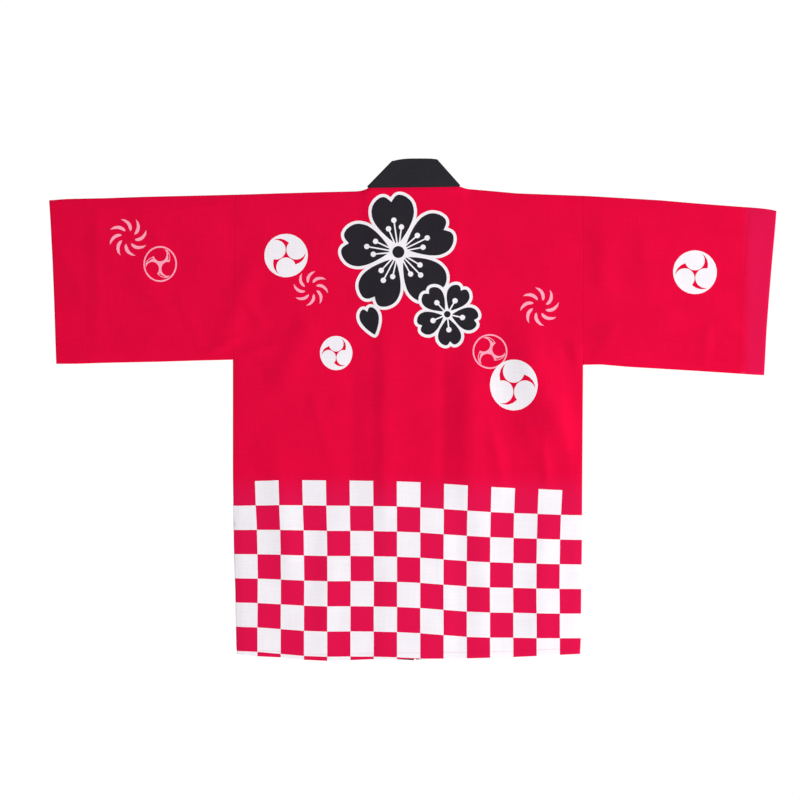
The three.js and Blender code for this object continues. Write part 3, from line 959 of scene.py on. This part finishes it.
# %% Back
WALL = 1.2
LOFT = 0.8
EDGE_LOFT = 0.3
HEM_DEPTH = 12.5
BAND_EASE = 26  # the cloth comes down over this distance beside the band
PRESSED = 12  # the width of the edges that are pressed flat
NAPE_EASE = 32  # the cloth starts to rise this far below the neck
FOLD_EASE = 40  # folds die away over this distance from a sewn edge
WAVE_EASE = 15  # and waves over this one
WAVE_LIFT = 0.25  # so that the troughs of the waves don't reach what lies beneath
WELT_HIGH = 0.7
WELT_AT = 6  # the welt of the neck seam, below its edge


def edge_distances(x, y):
    """On the flat: how far a point of the back is from its nearer side and from its top."""
    sides = [x - side_seam["left"](y), side_seam["right"](y) - x]
    return min(sides), back_top(x) - y


def back_height(x, y):
    """The height of the back's outer face."""
    from_side, from_top = edge_distances(x, y)
    over_band = 1 - smooth((abs(x - MIDDLE) - seam_offset(y)) / BAND_EASE)
    near_side = from_side + max(0, y - ARMPIT["left" if x < MIDDLE else "right"])
    near_top = math.inf if over_band > 0.5 else from_top
    from_edge = min(near_side, near_top)
    pressed = lerp(EDGE_LOFT, LOFT, smooth(from_edge / PRESSED))
    nape = over_band * smooth(1 - from_top / NAPE_EASE)
    height = 2 * WALL + pressed + over_band * (BAND_THICK - WALL) + nape * LOFT
    height += smooth(from_edge / FOLD_EASE) * all_folds(x, y)
    height += smooth(min(from_edge, from_top) / WAVE_EASE) * (waves(x, y) + WAVE_LIFT)
    if abs(x - MIDDLE) < NAPE_LOW_HALF:
        height += WELT_HIGH * math.exp(-(((from_top - WELT_AT) / 3) ** 2))
    return height + hem_relief(y - hem(x), HEM_DEPTH)


def back_surface(x, y):
    """Where a point of the back lies once its edges are turned."""
    which = "left" if x < MIDDLE else "right"
    s = SIGN[which]
    roll = side_roll(which, y)
    edge = side_seam[which](y)
    inset, side_drop = turned(s * (edge - x) + spare(roll), roll)
    top = back_top(x)
    under, top_drop = turned(top - y + spare(ROLL), ROLL)
    return Vector((edge - s * inset, top - under, back_height(x, y) - max(side_drop, top_drop)))


def lay_back(x, y):
    return hem_laid(back_surface, x, y, hem(x) + HEM_TURN - y, (0, 1))


print("The middle of the back lies", round(back_height(0, 0), 1), "mm up")

# %% [markdown]
# A panel's outline on the flat goes round once: along the raw edge of the hem, which will be folded under, up
# one side, over the top and down the other side. Close rows of points follow the turned sides, the top, the
# fold of the hem and its line of stitches. One function cuts the back here, and the two fronts later.

# %% Rows of close points
FINE = 5
SIDE_TOP = 386
BELOW_HEM = -460
WELT_ROWS = (5, 7, 9, 12)
HEM_RAW = HEM_DEPTH + (math.pi - 1) * HEM_TURN


def spread(start, end, step):
    """Even steps from start to end."""
    count = max(1, round(abs(end - start) / step))
    return [lerp(start, end, n / count) for n in range(count + 1)]


FOLD_STEPS = 6
BY_STITCHES = (-4, -2, -1, 0, 1, 2, 4)


def hem_rows(depth):
    """How far in from a hem's edge its close rows are: round the fold and along the stitches."""
    fold = [HEM_TURN - math.pi * HEM_TURN * n / FOLD_STEPS for n in range(FOLD_STEPS, -1, -1)]
    return fold + [depth + off for off in BY_STITCHES]


def with_close(places, near_start=(), near_end=()):
    """Places along an edge, with close ones at these distances from its two ends."""
    start, end = places[0], places[-1]
    way = 1 if end > start else -1
    closest = [max(near, default=0) + 0.8 for near in (near_start, near_end)]
    inner = [p for p in places[1:-1] if abs(p - start) > closest[0] and abs(p - end) > closest[1]]
    from_start = [start + way * distance for distance in near_start]
    from_end = [end - way * distance for distance in reversed(near_end)]
    return [start, *from_start, *inner, *from_end, end]


def side_row(side, ys, hem_line, inward):
    """A row beside a turned side. By the hem it follows the hem's slope, so that the fold stays whole."""
    return [(side(y) + inward, y + hem_line(side(y) + inward) - hem_line(side(y))) for y in ys[1:-1]]


print("Close rows round a hem:", len(hem_rows(HEM_DEPTH)))


# %% Cutting the back
def side_edge(which):
    """The flat edge of a panel at its side seam, as a function of Y."""
    return lambda y: side_seam[which](y) + SIGN[which] * spare(side_roll(which, y))


def cut_panel(near_x, far_x, top_y, hem_line, top_xs, near_top, prints, spacing, more=()):
    """Cuts the back or a front. The outline runs along the hem from the near side to the far side, up that
    one, back over the top and down the near side."""
    xs = hem_columns(near_x(BELOW_HEM), far_x(BELOW_HEM), spacing)
    way = 1 if xs[-1] > xs[0] else -1
    close_ys = [HEM_RAW + inside for inside in hem_rows(HEM_DEPTH)]
    near_ys = with_close(spread(hem_line(xs[0]) - HEM_RAW, near_top, spacing), close_ys)
    far_ys = with_close(spread(hem_line(xs[-1]) - HEM_RAW, SIDE_TOP, spacing), close_ys)
    outline = [(x, hem_line(x) - HEM_RAW) for x in with_close(xs, EDGE_ROWS, EDGE_ROWS)]
    outline += [(far_x(y), y) for y in far_ys[1:-1]]
    outline += [(x, top_y(x)) for x in top_xs]
    outline += [(near_x(y), y) for y in near_ys[-2:0:-1]]
    rows = [(x, hem_line(x) + inside) for x in xs[1:-1] for inside in hem_rows(HEM_DEPTH)]
    for inside in EDGE_ROWS:
        rows += side_row(near_x, near_ys, hem_line, way * inside)
        rows += side_row(far_x, far_ys, hem_line, -way * inside)
        rows += [(x, top_y(x) - inside) for x in top_xs[1:-1]]
    return cut(outline, prints, rows + list(more), spacing)


def cut_back():
    left_x, right_x = side_edge("left"), side_edge("right")

    def top_y(x):
        return back_top(x) + spare(ROLL)

    top_xs = spread(right_x(SIDE_TOP), left_x(SIDE_TOP), FINE)
    at_nape = [x for x in top_xs if abs(x - MIDDLE) < NAPE_LOW_HALF]
    welt = [(x, top_y(x) - inside) for inside in WELT_ROWS for x in at_nape]
    prints = check() + printed(BACK_MOTIFS + FLOWERS)
    return cut_panel(left_x, right_x, top_y, hem, top_xs, SIDE_TOP, prints, FINE, more=welt)


back = sew("coat_back", [(*cut_back(), lay_back, True)], [check_red] + FINISHES[1:])
dress(back, "back")

# %% [markdown]
# ## The two fronts
# Each runs from the side seam to the collar band. Their hems end 3 mm short of the back's, as they lie.

# %% Laying a front
COARSE = 9
FRONT_SHORT = 3
GROOVE_HIGH = 0.35  # how far the line of stitches pulls the hem up from the table


def front_top(x):
    return min(back_top(x), neck(x) - SEAM)


def front_surface(which):
    """Lays a front: its outer face is its underside, and its sewn edges turn up."""
    s = SIGN[which]

    def surface(x, y):
        roll = side_roll(which, y)
        edge = side_seam[which](y)
        inset, side_rise = turned(s * (edge - x) + spare(roll), roll)
        seam = MIDDLE + s * (seam_offset(y) + SEAM / 2)
        from_band, band_rise = turned(s * (x - seam) + spare(GROOVE), GROOVE)
        top = front_top(x)
        under, top_rise = turned(top - y + spare(ROLL), ROLL)
        place = edge - s * inset if abs(edge - x) < abs(x - seam) else seam + s * from_band
        hem_rise = GROOVE_HIGH * math.exp(-(((y - hem(x) - HEM_DEPTH) / 1.8) ** 2))
        return Vector((place, top - under, max(side_rise, band_rise, top_rise, hem_rise)))

    return surface


print("The fronts' hems are", FRONT_SHORT, "mm above the back's")


# %% Cutting the fronts
def cut_front(which):
    s = SIGN[which]
    outer_x = side_edge(which)

    def inner_x(y):
        return MIDDLE + s * (seam_offset(y) + SEAM / 2 - spare(GROOVE))

    def top_y(x):
        return front_top(x) + spare(ROLL)

    def hem_line(x):
        return hem(x) + FRONT_SHORT

    surface = front_surface(which)

    def lay_front(x, y):
        return hem_laid(surface, x, y, hem_line(x) + HEM_TURN - y, (0, 1), faces=-1)

    top_xs = spread(outer_x(SIDE_TOP), inner_x(NECK_Y), COARSE)
    flat = cut_panel(inner_x, outer_x, top_y, hem_line, top_xs, NECK_Y - SEAM, check(), COARSE)
    return *flat, lay_front, False


fronts = {}
for which in SIDES:
    fronts[which] = sew("coat_front_" + which, [cut_front(which)], [check_red] + FINISHES[1:])
    dress(fronts[which], "front_" + which)

# %% [markdown]
# ## The sleeves
# A sleeve is one rectangle of cloth, folded at the shoulder and sewn under the arm, so it lies as a flat tube
# that is open at the cuff and at the armhole. Its two halves are cut here as two pieces with one outline and
# joined along both turned edges, which gives the same tube. The cuff is a deep hem, turned inside.

# %% Laying a sleeve
SLEEVE_TOP = 3.2
SLEEVE_LOFT = 0.8
SLEEVE_EDGE = 386
SEAM_REACH = 30  # only this near to the armhole is the cloth drawn into its seam
PUFF_EASE = 24  # the tube's upper half lifts over this distance from its edges
FAR = 1000  # further along a line than the coat reaches
CUFF_DEPTH = {"left": 57, "right": 50}


def sleeve_surface(which, upper):
    """Lays the upper or the lower half of a sleeve."""
    s = SIGN[which]

    def surface(x, y):
        top = shoulder[which](x)
        low = underarm[which](x)
        from_top, top_drop = turned(top - y + spare(SLEEVE_ROLL), SLEEVE_ROLL)
        from_low, low_drop = turned(y - low + spare(SLEEVE_ROLL), SLEEVE_ROLL)
        place = top - from_top if top - y < y - low else low + from_low
        seam = side_seam[which](y)
        roll = side_roll(which, y)
        from_seam, seam_drop = turned(s * (x - seam) + spare(roll), roll)
        near = seam + s * from_seam
        across = near if abs(x - seam) < SEAM_REACH else x
        drop = max(top_drop, low_drop)
        inside = min(y - low, top - y)
        if upper:
            height = SLEEVE_TOP - max(drop, seam_drop)
            height += SLEEVE_LOFT * smooth(inside / PUFF_EASE) * smooth(s * (x - seam) / FOLD_EASE)
            height += smooth((y - low) / FOLD_EASE) * smooth((top - y) / FOLD_EASE) * all_folds(x, y)
            height += smooth(inside / WAVE_EASE) * (waves(x, y) + WAVE_LIFT)
            height += smooth(inside / 6) * hem_relief(s * (cuff[which](y) - x), CUFF_DEPTH[which])
            return Vector((across, place, height))
        return Vector((across, place, max(drop, seam_drop * smooth(inside / 5))))

    return surface


print("The cuffs' hems are", CUFF_DEPTH, "mm deep")


# %% Cutting the sleeves
def cut_sleeve_half(which, upper):
    s = SIGN[which]
    step = FINE if upper else COARSE
    line = cuff[which]
    raw = CUFF_DEPTH[which] + (math.pi - 1) * HEM_TURN

    def seam_x(y):
        return side_seam[which](y) - s * spare(side_roll(which, y))

    def top_y(x):
        return shoulder[which](x) + spare(SLEEVE_ROLL)

    def low_y(x):
        return underarm[which](x) - spare(SLEEVE_ROLL)

    low_far = line(-FAR) + s * raw
    high_far = line(FAR) + s * raw
    close_xs = [raw + inside for inside in hem_rows(CUFF_DEPTH[which])]
    low_xs = with_close(spread(seam_x(0), low_far, FINE), EDGE_ROWS, close_xs)
    top_xs = with_close(spread(high_far, seam_x(SLEEVE_EDGE), FINE), close_xs, EDGE_ROWS)
    cuff_ys = spread(low_y(low_far), top_y(high_far), FINE)
    seam_ys = spread(top_y(seam_x(SLEEVE_EDGE)), low_y(seam_x(0)), FINE)
    outline = [(x, low_y(x)) for x in low_xs]
    outline += [(line(y) + s * raw, y) for y in with_close(cuff_ys, EDGE_ROWS, EDGE_ROWS)[1:-1]]
    outline += [(x, top_y(x)) for x in top_xs]
    outline += [(seam_x(y), y) for y in with_close(seam_ys, EDGE_ROWS, EDGE_ROWS)[1:-1]]
    rows = [(line(y) - s * inside, y) for y in cuff_ys[1:-1] for inside in hem_rows(CUFF_DEPTH[which])]
    for inside in EDGE_ROWS:
        rows += [(x, top_y(x) - inside) for x in top_xs[1:-1]]
        rows += [(x, low_y(x) + inside) for x in low_xs[1:-1]]
        rows += [(seam_x(y) + s * inside, y) for y in seam_ys[1:-1]]
    motifs = LEFT_SLEEVE_MOTIFS if which == "left" else RIGHT_SLEEVE_MOTIFS
    surface = sleeve_surface(which, upper)

    def lay_sleeve(x, y):
        return hem_laid(surface, x, y, s * (x - line(y)) + HEM_TURN, (-s, 0), faces=1 if upper else -1)

    return *cut(outline, printed(motifs) if upper else [], rows, step), lay_sleeve, upper


sleeves = {}
for which in SIDES:
    halves = [cut_sleeve_half(which, upper) for upper in (True, False)]
    # The right sleeve takes the red with painted sheen over its cuff.
    red = red_print if which == "left" else red_with_painted_sheen_at_cuff
    sleeves[which] = sew("coat_sleeve_" + which, halves, [red] + FINISHES[1:])
    dress(sleeves[which], "sleeve_" + which)

# %% [markdown]
# ## The collar band
# The collar is one long strip, folded to a band of several layers. It goes up one front, turns over at a
# slanting fold beside the neck, lies behind the neck with its outer face up, and turns over again to go down
# the other front. It is made as a ribbon: a rounded section is carried along stations, each of which has the
# places of the band's sewn and free edges and the way that its outer face looks.

# %% Stations of the collar
TURN_RADIUS = 1.7  # the middle of the band's wall, round a fold
FOLD_HEIGHT = 2.9
NAPE_HEIGHT = 4.6
NAPE_OVER = 1.1  # how far the band covers the edge of the back that is sewn into it
CORNER_DROP = {-1: 4.4, 1: 1.5}  # how far the two corners of the nape are below its top
NAPE_ROUND = {-1: 2.5, 1: 6}  # the higher, the nearer to its corner the top of the nape starts to drop
LOW_CORNER = {-1: NAPE_LOW_HALF + 5, 1: NAPE_LOW_HALF}
BAND_ENDS = {-1: (-447.9, -450.8), 1: (-446, -449.7)}  # the ends of the sewn side and of the free side
SPREAD_Y = 215  # from here up the stations slant, to meet the slanting fold at the neck
LEG_TOPS = (376, 412)  # where the last of them has its sewn and its free side
LEG_STEP = 9
SWELL = 0.12  # the slight unevenness of the band's outer face
ACROSS = [0, 0.12, 0.4, 0.8, 1.3, 3.2, 9, 17, 24.8, 32.6, 40.6, 46.4, 48.3, 48.8, 49.2, 49.48, 49.6]
Station = namedtuple("Station", "sewn free z out_part up_part out")


def collar_half(s):
    """The stations of one half of the band, from its end at the hem to the middle of the nape."""
    sewn_fold = Vector((MIDDLE + s * LOW_CORNER[s], neck(MIDDLE + s * LOW_CORNER[s]) + SEAM / 2))
    free_fold = Vector((MIDDLE + s * NAPE_HIGH_HALF[s], NAPE_TOP - CORNER_DROP[s]))
    lean = (free_fold - sewn_fold).normalized()
    out = Vector((s * lean.y, -s * lean.x))
    stations = []
    ends = [BAND_ENDS[s]] + [(y, y) for y in spread(BAND_ENDS[s][0] + 5, SPREAD_Y, LEG_STEP)]
    ends += [tuple(lerp(SPREAD_Y, top, t) for top in LEG_TOPS) for t in spread(0, 1, 0.06)[1:]]
    for sewn_y, free_y in ends:
        sewn = Vector((MIDDLE + s * (seam_offset(sewn_y) - SEAM / 2), sewn_y))
        free = Vector((MIDDLE + s * (seam_offset(free_y) - SEAM / 2 - BAND_WIDTH), free_y))
        stations.append(Station(sewn, free, BAND_THICK / 2, 0, -1, out))
    for angle in spread(0, math.pi, math.pi / 12):
        shift = out * TURN_RADIUS * math.sin(angle)
        height = FOLD_HEIGHT - TURN_RADIUS * math.cos(angle)
        sewn, free = sewn_fold + shift, free_fold + 0.3 * shift
        stations.append(Station(sewn, free, height, math.sin(angle), -math.cos(angle), out))
    for t in spread(1, 0, 0.08)[1:]:
        low_x = lerp(MIDDLE, sewn_fold.x, t)
        sewn = Vector((low_x, neck(low_x) + SEAM / 2 - NAPE_OVER * smooth(4 * (1 - t))))
        free = Vector((lerp(MIDDLE, free_fold.x, t), lerp(NAPE_TOP, free_fold.y, t ** NAPE_ROUND[s])))
        stations.append(Station(sewn, free, NAPE_HEIGHT, 0, 1, out))
    return stations


print("Half of the band has", len(collar_half(1)), "stations")


# %% Collar
def half_thickness(at):
    """Half the band's thickness at a distance across it, with round edges. The slight swell between is added
    where the band is made.
    """
    near = min(at, BAND_WIDTH - at)
    radius = BAND_THICK / 2
    if near < radius:
        return math.sqrt(radius**2 - (radius - near) ** 2)
    return radius


def make_collar():
    stations = collar_half(-1) + collar_half(1)[-2::-1]
    shape = bmesh.new()
    flat_place = shape.loops.layers.uv.new("cloth")
    rings = []
    length = 0
    previous = None
    for station in stations:
        middle = (station.sewn + station.free) / 2
        length += (middle - previous).length if previous else 0
        previous = middle
        face = Vector((*(station.out * station.out_part), station.up_part))
        ring = []
        for outer in (1, -1):
            for at in ACROSS if outer > 0 else ACROSS[-2:0:-1]:
                t = at / BAND_WIDTH
                place = Vector((*station.sewn.lerp(station.free, t), station.z))
                swell = SWELL * noise.noise(Vector((at / 20, length / 26, 3))) * min(1, half_thickness(at))
                place += face * outer * (half_thickness(at) - 0.1 + (swell if outer > 0 else 0))
                ring.append((shape.verts.new(place * MM), (at * outer, length)))
        rings.append(ring)
    for first, second in zip(rings, rings[1:]):
        for n in range(len(first)):
            m = (n + 1) % len(first)
            face = shape.faces.new([first[n][0], second[n][0], second[m][0], first[m][0]])
            face.smooth = True
            for loop, source in zip(face.loops, (first[n], second[n], second[m], first[m])):
                loop[flat_place].uv = (source[1][0] * MM, source[1][1] * MM)
    for ring in (rings[0], rings[-1]):
        shape.faces.new([v for v, _ in ring])
    bmesh.ops.recalc_face_normals(shape, faces=shape.faces)
    piece = to_piece("coat_collar", shape, [collar_black])
    piece.data.set_sharp_from_angle(angle=SHARP)
    print("The collar band is", round(length), "mm long")
    return piece, length


collar, collar_length = make_collar()
dress(collar, "collar")

# %% [markdown]
# ## Stitches
# A machine sews the cuffs and the hem with a stitch about every 3 mm. Each is a short length of thread that
# dives into the cloth at both ends, so it is made as a thin spindle, bent up in the middle. All the stitches
# of one thread are one mesh.

# %% Stitches
STITCH = 3.2
STITCH_GAP = 0.6
THREAD_RADIUS = 0.14
THREAD_OUT = 0.12  # how far a stitch stands out of the cloth
STITCH_IN = 1.5  # from the raw edge of a hem to its stitches


def stitches(name, paths, material):
    """Stitches along paths. A path is a list of places on the cloth, each with the way that it faces."""
    shape = bmesh.new()
    for path in paths:
        for (start, up), (end, _) in zip(path, path[1:]):
            along = (end - start).normalized()
            across = along.cross(up).normalized()
            start = start + along * STITCH_GAP / 2
            end = end - along * STITCH_GAP / 2
            tips = [shape.verts.new((start - up * 0.1) * MM), shape.verts.new((end - up * 0.1) * MM)]
            rings = []
            for t, thick in ((0.12, 0.75), (0.5, 1), (0.88, 0.75)):
                middle = start.lerp(end, t) + up * THREAD_OUT * thick
                ring = []
                for n in range(6):
                    turn = across * math.cos(math.pi / 3 * n) + up * math.sin(math.pi / 3 * n)
                    ring.append(shape.verts.new((middle + turn * THREAD_RADIUS * thick) * MM))
                rings.append(ring)
            for n in range(6):
                m = (n + 1) % 6
                shape.faces.new([tips[0], rings[0][m], rings[0][n]])
                shape.faces.new([rings[0][n], rings[0][m], rings[1][m], rings[1][n]])
                shape.faces.new([rings[1][n], rings[1][m], rings[2][m], rings[2][n]])
                shape.faces.new([tips[1], rings[2][n], rings[2][m]])
    for face in shape.faces:
        face.smooth = True
    bmesh.ops.recalc_face_normals(shape, faces=shape.faces)
    piece = to_piece(name, shape, [material])
    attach(piece, "root")
    print(name, "has", sum(len(path) - 1 for path in paths), "stitches")
    return piece


print("A stitch is", STITCH - STITCH_GAP, "mm long")


# %% Cuff stitches
def on_cloth(surface, points, faces=1):
    """The places on a laid surface of some flat points, and the way that it faces at each."""
    return [(surface(x, y), facing(surface, x, y) * faces) for x, y in points]


def cuff_path(which, upper):
    s = SIGN[which]
    depth = CUFF_DEPTH[which] - STITCH_IN
    low = underarm[which](cuff[which](80)) + 1
    high = shoulder[which](cuff[which](370)) - 1
    points = [(cuff[which](y) - s * depth, y) for y in spread(low, high, STITCH)]
    return on_cloth(sleeve_surface(which, upper), points, 1 if upper else -1)


for which in SIDES:
    paths = [cuff_path(which, upper) for upper in (True, False)]
    stitches("coat_stitches_cuff_" + which, paths, red_thread)

# %% [markdown]
# The hem's stitches run along the back and both fronts. The collar band is top stitched close to its sewn
# edge, which shows at the nape, and underneath along the fronts.

# %% Hem and collar stitches
HEM_ENDS = {"left": -314, "right": 299}
hem_points = [(x, hem(x) + HEM_DEPTH - STITCH_IN) for x in spread(*HEM_ENDS.values(), STITCH)]
hem_paths = [on_cloth(back_surface, hem_points)]
for which in SIDES:
    xs = spread(MIDDLE + SIGN[which] * (seam_offset(-400) + 2), HEM_ENDS[which], STITCH)
    points = [(x, hem(x) + FRONT_SHORT + HEM_DEPTH - STITCH_IN) for x in xs]
    hem_paths.append(on_cloth(front_surface(which), points, -1))
hem_stitches = stitches("coat_stitches_hem", hem_paths, red_thread)

COLLAR_STITCH_IN = 3
UP = Vector((0, 0, 1))
nape_path = []
for x in spread(MIDDLE - NAPE_LOW_HALF + 3, MIDDLE + NAPE_LOW_HALF - 3, STITCH):
    nape_path.append((Vector((x, neck(x) + COLLAR_STITCH_IN, NAPE_HEIGHT + BAND_THICK / 2 - 0.1)), UP))
collar_paths = [nape_path]
for s in (-1, 1):
    leg = []
    for y in spread(BAND_ENDS[s][0] + 2, 372, STITCH):
        x = MIDDLE + s * (seam_offset(y) - COLLAR_STITCH_IN)
        leg.append((Vector((x, y, 0.1)), -UP))
    collar_paths.append(leg)
collar_stitches = stitches("coat_stitches_collar", collar_paths, black_thread)

# %% [markdown]
# ## What each cloth was cut to
# The flat sizes of the body and of each sleeve are worked out here, from the flat outlines, hems included. A
# sleeve is a tube, so its size is its length and the way all round it.

# %% Sheets
body_wide = side_seam["right"](0) - side_seam["left"](0)
body_long = NECK_Y - hem(0) + HEM_DEPTH
SLEEVE_Y = 200
SLEEVE_X = 480  # where a sleeve's length and the way round it are measured
for which in SIDES:
    long = abs(cuff[which](SLEEVE_Y) - side_seam[which](SLEEVE_Y)) + CUFF_DEPTH[which]
    around = 2 * (shoulder[which](SIGN[which] * SLEEVE_X) - underarm[which](SIGN[which] * SLEEVE_X))

# %% [markdown]
# ## Floor and light
# The photograph is a cut-out on pure white, with soft light that is a little stronger from the right. The
# floor glows white, so it stays pure white and takes no shadow. The sky is white down by the horizon and
# dim overhead, as in a white studio, and a large soft lamp low on the right gives the folds their form. It
# stands far enough away to light the whole width nearly evenly.

# %% Floor
WHITE_LIGHT = 1.02
FLOOR_HALF = 40  # metres
white_floor = bpy.data.materials.new("white studio floor")
tree = emptied(white_floor)
glow = add(tree, "Emission", {"Color": (1, 1, 1, 1), "Strength": WHITE_LIGHT})
add(tree, "OutputMaterial", {}, {"Surface": glow.outputs["Emission"]})
shape = bmesh.new()
corners = [(-1, -1), (1, -1), (1, 1), (-1, 1)]
shape.faces.new([shape.verts.new((u * FLOOR_HALF, v * FLOOR_HALF, -MM)) for u, v in corners])
to_piece("floor", shape, [white_floor])
print("The floor is", 2 * FLOOR_HALF, "m wide")

# %% Light
CEILING_LIGHT = 0.3
world = bpy.data.worlds.new("white studio")
tree = emptied(world)
look = add(tree, "TexCoord")
way = add(tree, "SeparateXYZ", {}, {"Vector": look.outputs["Generated"]})
fade = {"From Min": 0.25, "From Max": 0.5, "To Min": WHITE_LIGHT, "To Max": CEILING_LIGHT}
light = add(tree, "MapRange", fade, {"Value": way.outputs["Z"]})
sky = add(tree, "Background", {"Color": (1, 1, 1, 1)}, {"Strength": light.outputs["Result"]})
add(tree, "OutputWorld", {}, {"Surface": sky.outputs["Background"]})
bpy.context.scene.world = world

lamp = bpy.data.objects.new("soft lamp", bpy.data.lights.new("soft lamp", "AREA"))
lamp.data.energy = 1020
lamp.data.size = 3
lamp.data.color = (1, 0.98, 1.06)
lamp.location = (6.8, -2.5, 4.6)
lamp.rotation_euler = (-lamp.location).to_track_quat("-Z", "Y").to_euler()
bpy.context.scene.collection.objects.link(lamp)
bpy.context.scene.view_settings.view_transform = "Standard"
print("The lamp stands", round(lamp.location.length, 1), "m away")
